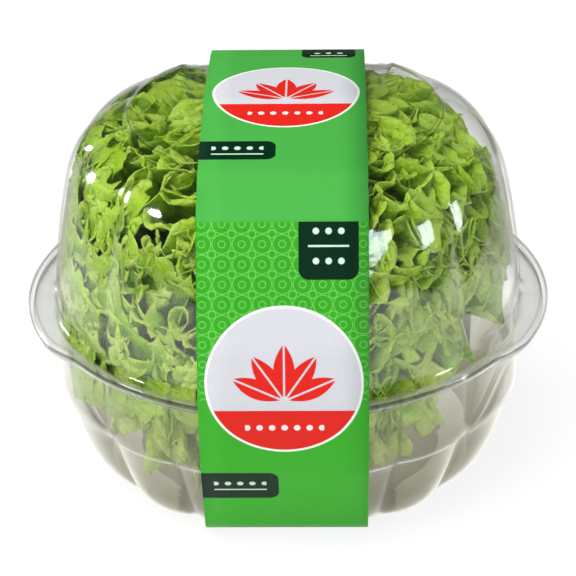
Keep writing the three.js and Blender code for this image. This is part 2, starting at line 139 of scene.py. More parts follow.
# How far the leaf tips are from the pack's middle, by their angle from straight up
HEAD_REACH = [
    (0, 70), (20, 75), (37, 90), (50, 97), (61, 95), (70, 92),
    (80, 91), (90, 88), (100, 76), (116, 54), (140, 38), (180, 36),
]
HANG, HANG_AT = 0.17, 228  # the lowest leaves reach further out at this azimuth, and less across from it
SPARE, SPARE_AT = 0.14, 8  # the head stands off the lid's shoulder here, by this share of its reach
SPARE_ACROSS = 0.35  # and fills the shoulder across from it by this share of that
# Angles from straight up between which the hang starts, and the shoulder starts and ends
HANG_SPAN, SHOULDER_FROM, SHOULDER_TO = (70, 104), (24, 46), (62, 76)
CORE_SHARE = 0.66

# Leaf sheets: faces across and along, and for each set of ruffles the waves across half a leaf, their
# height as a share of its length, and where on the way to the tip they start
LEAF_ACROSS, LEAF_ALONG = 64, 9
BROAD_ACROSS, BROAD_ALONG = 92, 20
RUFFLES = ((1.5, 0.13, 0.0), (3.7, 0.125, 0.12), (8.2, 0.075, 0.42))
BROAD_RUFFLES = ((1.3, 0.055, 0.0), (3.3, 0.065, 0.3), (8.0, 0.045, 0.62))
CRUMPLES = 6
CRUMPLE_DEPTH = 0.075  # as a share of the crumple's width
TIP_CURL = 0.24  # how far a leaf's tip bends over outwards, as a share of its length

# How far the leaves differ from one another, in degrees: how they rise, head and roll
RISE_SPREAD, HEADING_SPREAD = 26, 50
LEAF_ROLL, OUTER_ROLL, WALL_ROLL, TUB_ROLL = 70, 30, 40, 50

# Where the leaves outside the others are, in degrees round and in mm
OUTER_TURNS = (286, 297, 24, 52, 84, 118, 150, 182)
OUTER_DROP = 44  # degrees from an outer leaf's root down to its tip
TIP_SHARE, OUTER_ROOT, WALL_ROOT = 1.03, 0.86, 0.88  # of the head's reach, for their tips and roots
WALL_LEAVES = 22
WALL_FROM, WALL_SPAN = 136, 100  # degrees round that the wall leaves cover
WALL_TOP, WALL_DEEP = 38, 42  # degrees from straight up to the highest of their tips, and from there down
# Degrees round, how far out and how high the tip is of each leaf that hangs into the tub
TUB_LEAVES = [
    (199, 84, 48), (208, 82, 44), (216, 78, 36), (223, 76, 28), (229, 72, 21), (235, 67, 15), (240, 66, 19),
    (226, 82, 42), (233, 80, 38), (245, 70, 26), (249, 76, 34), (213, 85, 50),
    (286, 70, 24), (292, 73, 28), (298, 76, 36),
]
TUB_LEAF_RISE = 34  # from such a tip up to its root

GLOW_SHARE = 0.42  # how much of a leaf's light comes through it
# Colours from the root to the free edge of a leaf, as a screen shows them. The frilled leaf darkens towards
# its root as painted shade, and the pale free edges are partly the leaf's own colour and partly painted light
# shining through the thin edge
FRILLED = [
    (0.0, (50, 86, 10)), (0.34, (76, 124, 8)), (0.6, (130, 180, 16)), (0.8, (166, 210, 38)),
    (0.93, (196, 228, 72)), (1.0, (212, 236, 116)),
]
PALE = [(0.0, (176, 206, 76)), (0.5, (210, 232, 98)), (0.85, (230, 243, 138)), (1.0, (238, 246, 176))]
BROAD = [
    (0.0, (176, 204, 110)), (0.3, (136, 182, 52)), (0.6, (128, 178, 44)), (0.8, (150, 198, 60)),
    (0.93, (184, 220, 90)), (1.0, (214, 238, 130)),
]
# Colours of the head's inside and of the stem, from the lowest up. The inside turns deep green towards the
# top, where it shows only in the gaps between the leaves: painted shade
CORE = [(0.0, (214, 222, 180)), (0.25, (166, 190, 104)), (0.55, (70, 104, 30)), (1.0, (52, 84, 20))]
STEM = [(0.0, (176, 150, 104)), (0.12, (222, 218, 184)), (0.6, (226, 232, 196)), (1.0, (196, 214, 146))]
STEM_ROWS = [  # radius, height
    (0, 3.1), (12.4, 3.1), (13, 3.6), (13.6, 8), (14.8, 14), (16.8, 24), (16.6, 36), (14, 44), (9.6, 49.4),
    (0, 50),
]


def smooth(low, high, x):
    t = np.clip((x - low) / (high - low), 0, 1)
    return t * t * (3 - 2 * t)


def pick(index, channel):
    """A repeatable number between 0 and 1."""
    wave = sin(index * 12.9898 + channel * 78.233) * 43758.5453
    return wave - floor(wave)


def spread(index, channel, width):
    """A repeatable number up to half the width to either side of 0."""
    return (pick(index, channel) - 0.5) * width


# Shader graphs


class Wire:
    """A shader socket that takes arithmetic as Math nodes."""

    def __init__(self, graph, socket):
        self.graph = graph
        self.socket = socket

    def maths(self, operation, *values):
        return self.graph.node("Math", {"operation": operation}, values)

    def __add__(self, other):
        return self.maths("ADD", self, other)

    __radd__ = __add__

    def __sub__(self, other):
        return self.maths("SUBTRACT", self, other)

    def __rsub__(self, other):
        return self.maths("SUBTRACT", other, self)

    def __mul__(self, other):
        return self.maths("MULTIPLY", self, other)

    __rmul__ = __mul__

    def __truediv__(self, other):
        return self.maths("DIVIDE", self, other)

    def __pow__(self, other):
        return self.maths("POWER", self, other)

    def __abs__(self):
        return self.maths("ABSOLUTE", self)

    def least(self, other):
        return self.maths("MINIMUM", self, other)

    def most(self, other):
        return self.maths("MAXIMUM", self, other)

    def wrapped(self, step):
        """The distance from the nearest multiple of step, with its sign."""
        return self.maths("WRAP", self, step / 2, -step / 2)

    def below(self, limit, soft=0.12):
        """1 where the value is under the limit and 0 above it, with a soft edge."""
        ramp = {"interpolation_type": "SMOOTHSTEP"}
        return self.graph.node("MapRange", ramp, [self, limit - soft, limit + soft, 1.0, 0.0])

    def above(self, limit, soft=0.12):
        return 1 - self.below(limit, soft)


class Graph:
    """The nodes made for a new material or world."""

    def __init__(self, name, kind=bpy.data.materials):
        self.owner = kind.new(name)
        self.owner.use_nodes = True
        self.tree = self.owner.node_tree
        self.tree.nodes.clear()

    def node(self, kind, settings=None, inputs=(), output=0):
        made = self.tree.nodes.new("ShaderNode" + kind)
        for name, value in (settings or {}).items():
            if name == "stops":
                fill_ramp(made.color_ramp, value)
            else:
                setattr(made, name, value)
        pairs = inputs.items() if isinstance(inputs, dict) else enumerate(inputs)
        for key, value in pairs:
            if isinstance(value, Wire):
                self.tree.links.new(value.socket, made.inputs[key])
            elif value is not None:
                made.inputs[key].default_value = value
        return Wire(self, made.outputs[output])

    def mix(self, factor, a, b):
        """One colour over another."""
        return self.node("Mix", {"data_type": "RGBA"}, {0: factor, 6: a, 7: b}, 2)

    def noise(self, vector, scale, detail=3.0, rough=0.55):
        return self.node("TexNoise", {}, {
            "Vector": vector, "Scale": scale, "Detail": detail, "Roughness": rough,
        })

    def place(self):
        return self.node("TexCoord", output="Object")

    def part(self, vector, axis):
        return self.node("SeparateXYZ", {}, [vector], axis)

    def bump(self, height, strength, distance):
        return self.node("Bump", {}, {"Height": height, "Strength": strength, "Distance": distance})

    def ray(self, kind):
        """1 for rays of one kind and 0 for the others."""
        return self.node("LightPath", output=kind)

    def tinted(self, colour):
        return self.node("BsdfTransparent", {}, {"Color": colour})

    def matt(self, colour, rough, bump=None, shine=None):
        return self.node("BsdfPrincipled", {}, {
            "Base Color": colour, "Roughness": rough, "Normal": bump, "Specular IOR Level": shine,
        })

    def ramp(self, stops, position):
        """A colour between stops, which are a position and the colour that a screen shows there."""
        return self.node("ValToRGB", {"stops": [(at, srgb(*c)) for at, c in stops]}, [position])

    def blend(self, factor, a, b):
        """One shader over another."""
        return self.node("MixShader", {}, [factor, a, b])

    def finish(self, shader, kind="OutputMaterial"):
        end = self.tree.nodes.new("ShaderNode" + kind)
        self.tree.links.new(shader.socket, end.inputs["Surface"])
        return self.owner


def fill_ramp(ramp, stops):
    while len(ramp.elements) < len(stops):
        ramp.elements.new(1.0)
    for element, (position, colour) in zip(ramp.elements, stops):
        element.position = position
        element.color = (*colour, 1.0)


def srgb(r, g, b):
    """A linear colour from the 0 to 255 values that a screen shows."""
    def linear(c):
        c = c / 255
        return c / 12.92 if c <= 0.04045 else ((c + 0.055) / 1.055) ** 2.4
    return (linear(r), linear(g), linear(b))


def rgba(r, g, b):
    return (*srgb(r, g, b), 1.0)


# Outlines and walls


def outline_table(outline):
    """Angles from straight up and distances from the pack's middle along an outline."""
    points = np.array(outline, float)
    share = np.linspace(0, 1, 40, endpoint=False)[:, None]
    dense = np.concatenate([a + share * (b - a) for a, b in zip(points[:-1], points[1:])] + [points[-1:]])
    up = dense[:, 1] - CENTRE_Z
    return np.arctan2(dense[:, 0], up), np.hypot(dense[:, 0], up)


CHANNEL_TABLE = outline_table(CHANNEL)


def channel_limit(x, y, z):
    angle = np.arctan2(np.abs(y), z - CENTRE_Z)
    side = np.maximum(0, np.abs(x) - CHANNEL_HALF) * CHANNEL_SLOPE
    return np.interp(angle, *CHANNEL_TABLE) + side


def press_in(x, y, z):
    """Presses wall points into the channel under the band."""
    reach = np.hypot(y, z - CENTRE_Z)
    k = np.minimum(1, channel_limit(x, y, z) / np.maximum(reach, 1e-9))
    return x, y * k, CENTRE_Z + (z - CENTRE_Z) * k


def curved_section(rows, steps):
    """A smooth curve through the rows of a section, kept sharp at its creases."""
    values = np.array([row[:-1] for row in rows], float)
    creases = [i for i, row in enumerate(rows) if row[-1]]
    stops = sorted({0, *creases, len(rows) - 1})
    made = []
    for first, last in zip(stops[:-1], stops[1:]):
        run = values[first:last + 1]
        for i in range(len(run) - 1):
            before = run[i - 1] if i else 2 * run[0] - run[1]
            after = run[i + 2] if i + 2 < len(run) else 2 * run[-1] - run[-2]
            for t in np.linspace(0, 1, steps, endpoint=False):
                made.append(catmull(before, run[i], run[i + 1], after, t))
    made.append(values[-1])
    return np.array(made)


def catmull(a, b, c, d, t):
    bend = (2 * a - 5 * b + 4 * c - d) * t * t
    return 0.5 * (2 * b + (c - a) * t + bend + (3 * b - a - 3 * c + d) * t ** 3)


# Faces across the half wedge, the large lobe, the small lobe and half the front
LOBE_COLUMNS = (6, 22, 16, 18)
SECTION_STEPS = 4  # faces between two rows of a wall section


def wedge_at(z):
    """Half the width in degrees of the narrow lobe at each side."""
    return WEDGE_LOW + (WEDGE_TOP - WEDGE_LOW) * smooth(WEDGE_FROM, WEDGE_TO, z)


def fullness(from_side, z):
    """How full a lobe is, from 0 in a valley to 1 on its crest, by the angle from the X axis."""
    wedge = wedge_at(z)
    past_side, past_channel = from_side - VALLEY_SIDE, from_side - VALLEY_CHANNEL
    large = (from_side - wedge) / (VALLEY_SIDE - wedge)
    turn = np.where(from_side < wedge, 0.5 + 0.5 * from_side / wedge, large)
    turn = np.where(past_side > 0, past_side / (VALLEY_CHANNEL - VALLEY_SIDE), turn)
    turn = np.where(past_channel > 0, 0.5 * past_channel / (90 - VALLEY_CHANNEL), turn)
    full = np.clip(np.sin(np.pi * turn), 0, 1) ** LOBE_ROUND
    crest = (VALLEY_SIDE + VALLEY_CHANNEL) / 2
    return full + (1 - full) * np.where(from_side > crest, smooth(*VALLEY_FADE, z), 0)


def lobes(height):
    """Azimuths in radians round the pack at a height, and how full the lobe is at each."""
    edges = (0, wedge_at(height), VALLEY_SIDE, VALLEY_CHANNEL, 90)
    spans = zip(edges[:-1], edges[1:], LOBE_COLUMNS)
    quarter = np.concatenate([np.linspace(a, b, count, endpoint=False) for a, b, count in spans])
    half = np.concatenate([quarter, 180 - np.append(quarter, 90)[1:][::-1]])
    whole = np.concatenate([half, 180 + half])
    from_side = 90 - np.abs(90 - whole % 180)
    return np.radians(whole), fullness(from_side, height)


def side_angle(azimuth):
    """Degrees from the X axis, at whichever side is nearer."""
    return np.degrees(np.abs(np.arctan(np.tan(azimuth))))


def flange_radius(azimuth):
    from_side = side_angle(azimuth)
    round_edge = EAR_R + (FLANGE_R - EAR_R) * smooth(EAR_FULL, EAR_END, from_side)
    return np.minimum(round_edge, FLANGE_FRONT / np.maximum(1e-6, np.abs(np.sin(azimuth))))


def shell_rings(wall, flange, lines, valleys):
    """The outside face of the lid or the tub, ring by ring out from the pole, and the dark lines on it."""
    rings, dark = [], []
    for r, z, deep in curved_section(wall, SECTION_STEPS)[1:]:
        azimuth, full = lobes(z)
        radius = r - deep * (1 - full)
        level = np.full_like(azimuth, z)
        rings.append(np.stack(press_in(radius * np.cos(azimuth), radius * np.sin(azimuth), level), 1))
        bend = max(how * max(0, 1 - hypot(r - at_r, z - at_z) / LINE_REACH) for at_r, at_z, how in lines)
        line = np.full_like(azimuth, bend)
        for at, how in zip((VALLEY_SIDE, VALLEY_CHANNEL), valleys):
            in_valley = np.abs(side_angle(azimuth) - at) < 0.01
            line = np.maximum(line, how * in_valley * (deep > DEEP_VALLEY))
        dark.append(line)
    foot = rings[-1]
    azimuth = np.arctan2(foot[:, 1], foot[:, 0])
    inner = np.hypot(foot[:, 0], foot[:, 1])
    outer = flange_radius(azimuth)
    scale = np.minimum(1, (outer - inner) / FLANGE_FULL)
    for how, value, z, line in flange:
        r = inner + value * (outer - inner) if how == "out" else outer - value * scale
        rings.append(np.stack([r * np.cos(azimuth), r * np.sin(azimuth), np.full_like(r, z)], 1))
        dark.append(np.full_like(r, line))
    return np.array(rings), np.array(dark)


def grid_normals(rings, pole):
    above = np.concatenate([np.broadcast_to(pole, rings[:1].shape), rings[:-1]])
    below = np.concatenate([rings[1:], rings[-1:]])
    around = np.roll(rings, -1, 1) - np.roll(rings, 1, 1)
    normal = np.cross(below - above, around)
    return normal / np.linalg.norm(normal, axis=2, keepdims=True)


def skin(loops, around):
    """Faces over loops of points, counted from the pole before the first loop to the pole after the last."""
    faces = []
    for i in range(loops - 1):
        for c in range(around):
            n = (c + 1) % around
            a, b = 1 + i * around, 1 + (i + 1) * around
            faces.append((a + c, b + c, b + n, a + n))
    end = 1 + (loops - 1) * around
    for c in range(around):
        n = (c + 1) % around
        faces += [(0, 1 + c, 1 + n), (end + around, end + n, end + c)]
    return faces


def shell_mesh(name, wall, flange, up, lines, valleys):
    """A closed thin shell of revolution with lobes, its flange and its channel."""
    rings, dark = shell_rings(wall, flange, lines, valleys)
    pole = np.array(press_in(np.array(0.0), np.array(0.0), np.array(float(wall[0][1]))))
    normals = grid_normals(rings, pole) * up
    inside = rings - WALL * normals
    loops = np.concatenate([rings, inside[::-1]])
    points = np.concatenate([[pole], loops.reshape(-1, 3), [pole - [0, 0, up * WALL]]])
    faces = skin(len(loops), loops.shape[1])
    if up < 0:
        faces = [face[::-1] for face in faces]
    obj = make_object(name, points, faces)
    write_points(obj, "line", np.concatenate([[0], dark.ravel(), dark[::-1].ravel(), [0]]))
    return obj


def write_points(obj, name, values, kind="FLOAT", key="value"):
    """Writes a value at each point of a mesh, which its materials and node trees can read."""
    made = obj.data.attributes.new(name, kind, "POINT")
    made.data.foreach_set(key, np.array(values, np.int32 if kind == "INT" else np.float32).ravel())


def write_uv(obj, name, values):
    layer = obj.data.uv_layers.new(name=name)
    layer.data.foreach_set("uv", np.array(values, np.float32).ravel())


def lug_mesh():
    """The small pointed lugs at the foot of the lid's side valleys, which hold stacked lids apart."""
    corners = (
        (LUG_CORNER, -LUG_HALF, LUG_TOP), (LUG_CORNER, LUG_HALF, LUG_TOP),
        (LUG_APEX + LUG_OUT, 0, LUG_TOP), (LUG_END, 0, LUG_FOOT),
    )
    points, faces = [], []
    for turn in (VALLEY_SIDE, 180 - VALLEY_SIDE, 180 + VALLEY_SIDE, -VALLEY_SIDE):
        start = len(points)
        a = radians(turn)
        for out, side, z in corners:
            points.append((out * cos(a) - side * sin(a), out * sin(a) + side * cos(a), z))
        faces += [tuple(start + i for i in face) for face in ((0, 2, 1), (0, 3, 2), (1, 2, 3), (0, 1, 3))]
    obj = make_object("lid_lugs", points, faces, smooth_faces=False)
    write_points(obj, "line", LUG_LINES * 4)
    return obj


def make_object(name, points, faces, smooth_faces=True):
    mesh = bpy.data.meshes.new(name)
    mesh.from_pydata((np.asarray(points) * MM).tolist(), [], [tuple(int(i) for i in f) for f in faces])
    mesh.polygons.foreach_set("use_smooth", [smooth_faces] * len(mesh.polygons))
    mesh.update()
    return add_object(name, mesh)


def add_object(name, data):
    obj = bpy.data.objects.new(name, data)
    bpy.context.scene.collection.objects.link(obj)
    return obj


def dress(obj, material, slot, *nodes):
    obj.data.materials.clear()
    obj.data.materials.append(material)
    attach(obj, "root")
    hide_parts(*nodes)


# The clear plastic


CLEAR, GREY, BEIGE = (0.985, 0.985, 0.98, 1), (0.30, 0.32, 0.28, 1), (0.60, 0.59, 0.50, 1)
# Below this height the tub is tinted beige: partly its own haze, partly painted shade, heavier at the foot
# and towards the +X side
TINT_BELOW, TINT_EDGE = 0.046, 0.016  # metres
FOOT_BELOW, FOOT_EDGE = 0.02, 0.012
EDGE_DIM, FACE_DIM, LINE_DIM = 0.4, 0.03, 0.75  # how much grey at the rim, square on and in a dark line
EDGE_SHINE, FACE_SHINE = 0.9, 0.045  # how much it mirrors at the rim, and square on
SHARP, HAZY, HAZY_SHARE = 0.05, 0.2, 0.3  # roughness of the two highlights, and the share of the second


def clear_plastic(name, hazy_and_shaded):
    """Thin clear plastic: it dims what is behind it more towards its edges and along painted dark lines at
    its bends, and mirrors the room faintly.
    """
    g = Graph(name)
    place = g.place()
    haze = g.noise(place, 38.0, 4.0)
    ripple = g.bump(haze, 0.08, 0.002)
    away = g.node("LayerWeight", {}, {"Blend": 0.5, "Normal": ripple}, "Facing")
    # The line attribute greys the plastic along its bends, valleys and lug corners: a painted dark line,
    # standing in for the light they turn aside
    line = g.node("Attribute", {"attribute_name": "line"}, output="Fac")
    dim = (away ** 9.0 * EDGE_DIM + away * FACE_DIM).most(line ** 3.0 * LINE_DIM)
    through = g.blend(dim, g.tinted(CLEAR), g.tinted(GREY))
    # The beige tint is seen by the camera alone; it is partly the tub's own haze and partly painted shade,
    # made heavier at the foot and towards the +X side
    if hazy_and_shaded:
        height = g.part(place, 2)
        foot = height.below(FOOT_BELOW, FOOT_EDGE)
        amount = (foot * 0.46 + g.part(place, 0) * 1.6 + 0.54 + (haze - 0.5) * 0.8).most(0.1).least(1.0)
        amount = height.below(TINT_BELOW, TINT_EDGE) * g.ray("Is Camera Ray") * amount
        through = g.blend(amount, through, g.tinted(BEIGE))
    sharp, hazy = [
        g.node("BsdfGlossy", {}, {"Color": WHITE, "Roughness": rough, "Normal": ripple})
        for rough in (SHARP, HAZY)
    ]
    reflected = (away ** 5.0) * EDGE_SHINE + FACE_SHINE
    return g.finish(g.blend(reflected, through, g.blend(HAZY_SHARE, sharp, hazy)))


# The printed band


def resample(points, step):
    points = np.array(points, float)
    lengths = np.append(0, np.cumsum(np.linalg.norm(np.diff(points, axis=0), axis=1)))
    count = int(round(lengths[-1] / step))
    at = np.linspace(0, lengths[-1], count + 1)
    return np.stack([np.interp(at, lengths, points[:, i]) for i in (0, 1)], 1)


def band_path(step=1.0, softness=1.6):
    """The band's outer face as a closed loop in the YZ plane, front first, with its corners eased."""
    front = [(-y, z) for y, z in BAND_FRONT]
    back = list(reversed(BAND_BACK))
    loop = resample(front + back[1:], step)[:-1]
    reach = int(4 * softness / step)
    offsets = np.arange(-reach, reach + 1)
    weights = np.exp(-((offsets * step) ** 2) / (2 * softness ** 2))
    weights /= weights.sum()
    return sum(w * np.roll(loop, -int(o), 0) for o, w in zip(offsets, weights))


BAND_COLUMNS = 6
INNER_SIDE = 500  # the place across the print that stands for the bare inner side of the paper
FOLD_AT = (-69.6, 125.6)  # the crease over the front edge of the top, from which the print is measured


def paper_band():
    path = band_path()
    ahead = np.roll(path, -1, 0) - np.roll(path, 1, 0)
    ahead /= np.linalg.norm(ahead, axis=1, keepdims=True)
    inward = np.stack([-ahead[:, 1], ahead[:, 0]], 1)
    steps = np.linalg.norm(np.roll(path, -1, 0) - path, axis=1)
    run = np.append(0, np.cumsum(steps))[:-1]
    fold = run[np.argmin(np.hypot(path[:, 0] - FOLD_AT[0], path[:, 1] - FOLD_AT[1]))]
    count = len(path)
    across = np.linspace(-BAND_HALF, BAND_HALF, BAND_COLUMNS + 1)
    sides = (path, path + inward * BAND_THICK)
    outer, inner = [np.array([[(x, y, z) for x in across] for y, z in side]) for side in sides]
    loops = np.concatenate([outer, inner[:, ::-1]], 1)
    width = loops.shape[1]
    total = run[-1] + steps[-1]
    faces, strip = [], []
    for i in range(count):
        j = (i + 1) % count
        start = run[i] - fold - (total if run[i] - fold > total / 2 else 0)
        end = start + steps[i]
        for c in range(width):
            n = (c + 1) % width
            faces.append((i * width + c, i * width + n, j * width + n, j * width + c))
            bare = BAND_COLUMNS < c < width - 1
            left, right = (INNER_SIDE, INNER_SIDE) if bare else (loops[i, c, 0], loops[i, n, 0])
            strip.extend([(left, start), (right, start), (right, end), (left, end)])
    obj = make_object("band", loops.reshape(-1, 3), faces)
    write_uv(obj, "strip", strip)
    for polygon in obj.data.polygons:
        if polygon.index % width in (BAND_COLUMNS, width - 1):
            polygon.use_smooth = False
    return obj


# Print, in mm across the band and along it from the fold: left, right, start, end and corner radius of a box
RING_PITCH = 7.0
RING_TOP, RING_END = -0.6, 62.5
FOLD_LINE = -0.8
HANGING_BOX = (5.6, 26.5, -4, 19.4, 3.6)  # it hangs from the fold and is cut square there
BOXES = (
    (-40, -2.7, -41.3, -29.3, 3.4), HANGING_BOX, (-40, -2.3, 93.9, 109.7, 3.6), (5.6, 26.5, -140, -118, 3.0),
)
TALL_BOX = 18  # a box with two rows of drops is taller than this
DROP_PITCH, DROP_R, ROW_GAP = 4.4, 1.15, 5.2
DROPS_FROM = -128  # the drops are centred on what is in front of this
# Discs: the middle across and along, and the radius
DISC_FRONT = (0.3, 56.1, 27.8)
DISC_TOP = (0.3, -78.1, 27.4)
RED_FROM = 0.37  # the red segment starts this share of the radius below the disc's middle
RED = (190, 24, 18)
# Turn in radians and size of each leaf in the fan
FAN = ((-1.15, 9.5), (-0.6, 9.5), (0.0, 10), (0.6, 9.5), (1.15, 9.5))


def printed_paper():
    g = Graph("printed_paper")
    strip = g.node("UVMap", {"uv_map": "strip"})
    x, y = g.part(strip, 0), g.part(strip, 1)
    grain = g.noise(g.place(), 900.0, 2.0)
    # The top of the band and its front get different greens, partly the print's own colour and partly painted
    # light, each set for how brightly its face is lit; the front is lighter lower down
    front = g.mix(y.above(62, 40), rgba(44, 138, 26), rgba(50, 148, 34))
    ground = g.mix(y.above(FOLD_LINE, 0.5), rgba(60, 145, 58), front)

    half = RING_PITCH / 2
    near = distance(x.wrapped(RING_PITCH), y.wrapped(RING_PITCH))
    between = distance((x + half).wrapped(RING_PITCH), (y + half).wrapped(RING_PITCH))
    rings = ring(near, 3.3, 0.17).most(ring(near, 1.2, 0.2)).most(ring(between, 1.35, 0.2))
    zone = y.above(RING_TOP) * y.below(RING_END)
    ground = g.mix(rings * zone * 0.55, ground, rgba(112, 184, 88))

    colour = ground
    for box in BOXES:
        shape = rounded_box(x, y, box) * (y.above(FOLD_LINE) if box is HANGING_BOX else 1.0)
        colour = g.mix(shape, colour, rgba(2, 34, 20))
    for disc in (DISC_FRONT, DISC_TOP):
        colour = paint_disc(g, x, y, disc, colour)
    for box in BOXES:
        colour = g.mix(drops_in(x, y, box), colour, rgba(178, 196, 180))

    colour = g.mix(x.above(INNER_SIDE / 2), colour, rgba(196, 198, 182))
    shade = g.mix(grain * 0.10, colour, rgba(20, 60, 20))
    return g.finish(g.matt(shade, grain * 0.1 + 0.45, g.bump(grain, 0.05, 0.0004), 0.12))


def distance(x, y):
    return (x * x + y * y) ** 0.5


def drops_in(x, y, box):
    """Plain round drops over a thin line in the middle of a box, and under it too where the box is tall."""
    left, right, low, high = max(box[0], -BAND_HALF), box[1], max(box[2], DROPS_FROM), box[3]
    cx, cy = (left + right) / 2, (low + high) / 2
    tall = high - low > TALL_BOX
    marks = drop_row(x - cx, y - (cy - ROW_GAP if tall else cy - 1.4))
    marks = marks.most(abs(y - (cy if tall else cy + 2.4)).below(0.35, 0.1))
    if tall:
        marks = marks.most(drop_row(x - cx, y - (cy + ROW_GAP)))
    return marks * abs(x - cx).below((right - left) * 0.34)


def drop_row(x, y):
    return distance(x.wrapped(DROP_PITCH), y).below(DROP_R)


def ring(away, radius, half):
    return abs(away - radius).below(half, 0.1)


def rounded_box(x, y, box):
    left, right, low, high, radius = box
    dx = (abs(x - (left + right) / 2) - ((right - left) / 2 - radius)).most(0.0)
    dy = (abs(y - (low + high) / 2) - ((high - low) / 2 - radius)).most(0.0)
    return distance(dx, dy).below(radius)


def paint_disc(g, x, y, disc, under):
    """A plain off-white disc with a thin white rim, a red segment and a simple leaf."""
    cx, cy, radius = disc
    dx = x - cx
    dy = y - cy
    away = distance(dx, dy)
    face = g.mix(dy.above(radius * RED_FROM), rgba(178, 178, 184), rgba(*RED))
    face = g.mix(drop_row(dx, dy - radius * 0.62) * abs(dx).below(radius * 0.5), face, rgba(206, 196, 196))
    face = g.mix(leaf_mark(dx, dy), face, rgba(*RED))
    rimmed = g.mix(away.above(radius - 0.9), face, rgba(206, 210, 202))
    return g.mix(away.below(radius), under, rimmed)


def leaf_mark(dx, dy):
    """Plain pointed leaves standing in a fan."""
    mark = None
    for tilt, size in FAN:
        rise = 6.5 - dy
        along = dx * sin(tilt) + rise * cos(tilt) - 1.0
        side = dx * cos(tilt) - rise * sin(tilt)
        t = (along / (2 * size)).most(0.0).least(1.0)
        width = (t * (1 - t)) * size * 1.5
        vein = abs(side).above(0.35)
        shape = (width - abs(side)).above(0.0) * vein
        mark = shape if mark is None else mark.most(shape)
    return mark


# The lettuce


def round_point(azimuth, out, height):
    a = radians(azimuth)
    return np.array([out * cos(a), out * sin(a), height])


def head_point(from_top, azimuth, share):
    """A point at a share of the head's reach, by its angle from straight up and its azimuth in degrees."""
    a, down, tilt = radians(azimuth), radians(from_top), abs(from_top)
    hang = 1 + HANG * cos(a - radians(HANG_AT)) * float(smooth(*HANG_SPAN, tilt))
    shoulder = float(smooth(*SHOULDER_FROM, tilt) * (1 - smooth(*SHOULDER_TO, tilt)))
    side = cos(a - radians(SPARE_AT))
    spare = 1 - SPARE * shoulder * (side if side > 0 else SPARE_ACROSS * side)
    reach = np.interp(tilt, *zip(*HEAD_REACH)) * share * hang * spare
    return round_point(azimuth, reach * sin(down), CENTRE_Z + reach * cos(down))


def wall_radius(x, y, z):
    """The wall's outer radius where the direction of (x, y) meets it at a height."""
    share = fullness(np.degrees(np.arctan2(np.abs(y), np.abs(x))), z)
    made = []
    for rows in (LID_WALL[6:], TUB_WALL[3:]):
        heights, radii, depths = zip(*sorted((z_row, r, deep) for r, z_row, deep, _ in rows))
        made.append(np.interp(z, heights, radii) - np.interp(z, heights, depths) * (1 - share))
    return np.where(z > FLANGE_Z, *made)


def wall_share(points, room):
    """How far out each point is, as a share of the way from the pack's middle to the wall."""
    x, y, z = points.T
    room = room + SOLID_WALL
    low, high = np.zeros(len(points)), np.full(len(points), 4.0)
    for _ in range(HALVINGS):
        k = (low + high) / 2
        px, py, pz = x * k, y * k, CENTRE_Z + (z - CENTRE_Z) * k
        inside = (np.hypot(px, py) < wall_radius(px, py, pz) - room) & (pz > TUB_FLOOR + room)
        inside &= pz < LID_WALL[6][1] + SOLID_WALL - room
        inside &= np.hypot(py, pz - CENTRE_Z) < channel_limit(px, py, pz) - room
        low, high = np.where(inside, k, low), np.where(inside, high, k)
    return 1 / low


def press_leaves(points):
    """Presses the leaves softly against the inside of the pack."""
    share = wall_share(points, LEAF_CLEAR)
    room = 1 - SOFT_FROM
    eased = SOFT_FROM + room * (1 - np.exp(-(share - SOFT_FROM) / room))
    k = np.where(share > SOFT_FROM, eased / share, 1)[:, None]
    middle = np.array([0, 0, CENTRE_Z])
    return middle + (points - middle) * k


def leaf_variant(index, across, along, ruffles):
    """One leaf end as a sheet that is 1 long: across X, from root to tip along Y, its face along Z."""
    rng = np.random.default_rng(100 + index)
    u = np.linspace(-1, 1, across + 1)[None, :]
    s = (np.linspace(0, 1, along + 1) ** 0.85)[:, None]
    lobed = 0.07 * np.sin(u * 7 + rng.uniform(0, 6)) + 0.06 * np.sin(u * 17 + rng.uniform(0, 6))
    toothed = 0.06 * np.abs(np.sin(u * 19 + rng.uniform(0, 6))) + 0.015 * rng.standard_normal(u.shape)
    x = 0.72 * u * (0.42 + 0.5 * np.sqrt(s))
    y = s * (1 - 0.32 * u * u + (lobed + toothed) * s ** 3)
    z = -0.12 * u * u * s - TIP_CURL * s ** 2.6
    for waves, high, start in ruffles:
        grow = np.clip((s - start) / (1 - start), 0, 1) ** 1.2
        phase = np.pi * waves * u + rng.uniform(0, 6) + 1.5 * np.sin(2.3 * u + rng.uniform(0, 6))
        size = high * grow * (0.55 + 0.9 * np.cos(1.9 * u + rng.uniform(0, 6)) ** 2)
        z = z + size * np.sin(phase + 1.4 * s)
        x = x + 0.75 * size * np.cos(phase + 0.9 + 0.8 * s)
        y = y + 0.5 * size * np.sin(0.5 * phase + rng.uniform(0, 6))
    for _ in range(CRUMPLES):
        turn, wave, phase = rng.uniform(0, pi), rng.uniform(0.14, 0.34), rng.uniform(0, 6)
        along_fold = (x * cos(turn) + y * sin(turn)) * 2 * pi / wave
        z = z + CRUMPLE_DEPTH * wave * np.sin(along_fold + phase) * (0.25 + 0.75 * s)
    columns = across + 1
    points = np.stack([np.broadcast_to(a, (along + 1, columns)) for a in (x, y, z)], 2)
    faces, uvs = [], []
    for r in range(along):
        for c in range(across):
            a = r * columns + c
            faces.append((a, a + 1, a + columns + 1, a + columns))
            uvs.extend((c + i, r + j) for i, j in ((0, 0), (1, 0), (1, 1), (0, 1)))
    obj = make_object(f"leaf_variant_{index:02d}", points.reshape(-1, 3) / MM, faces)
    write_uv(obj, "leaf", np.array(uvs, np.float32) / (across, along))
    return obj


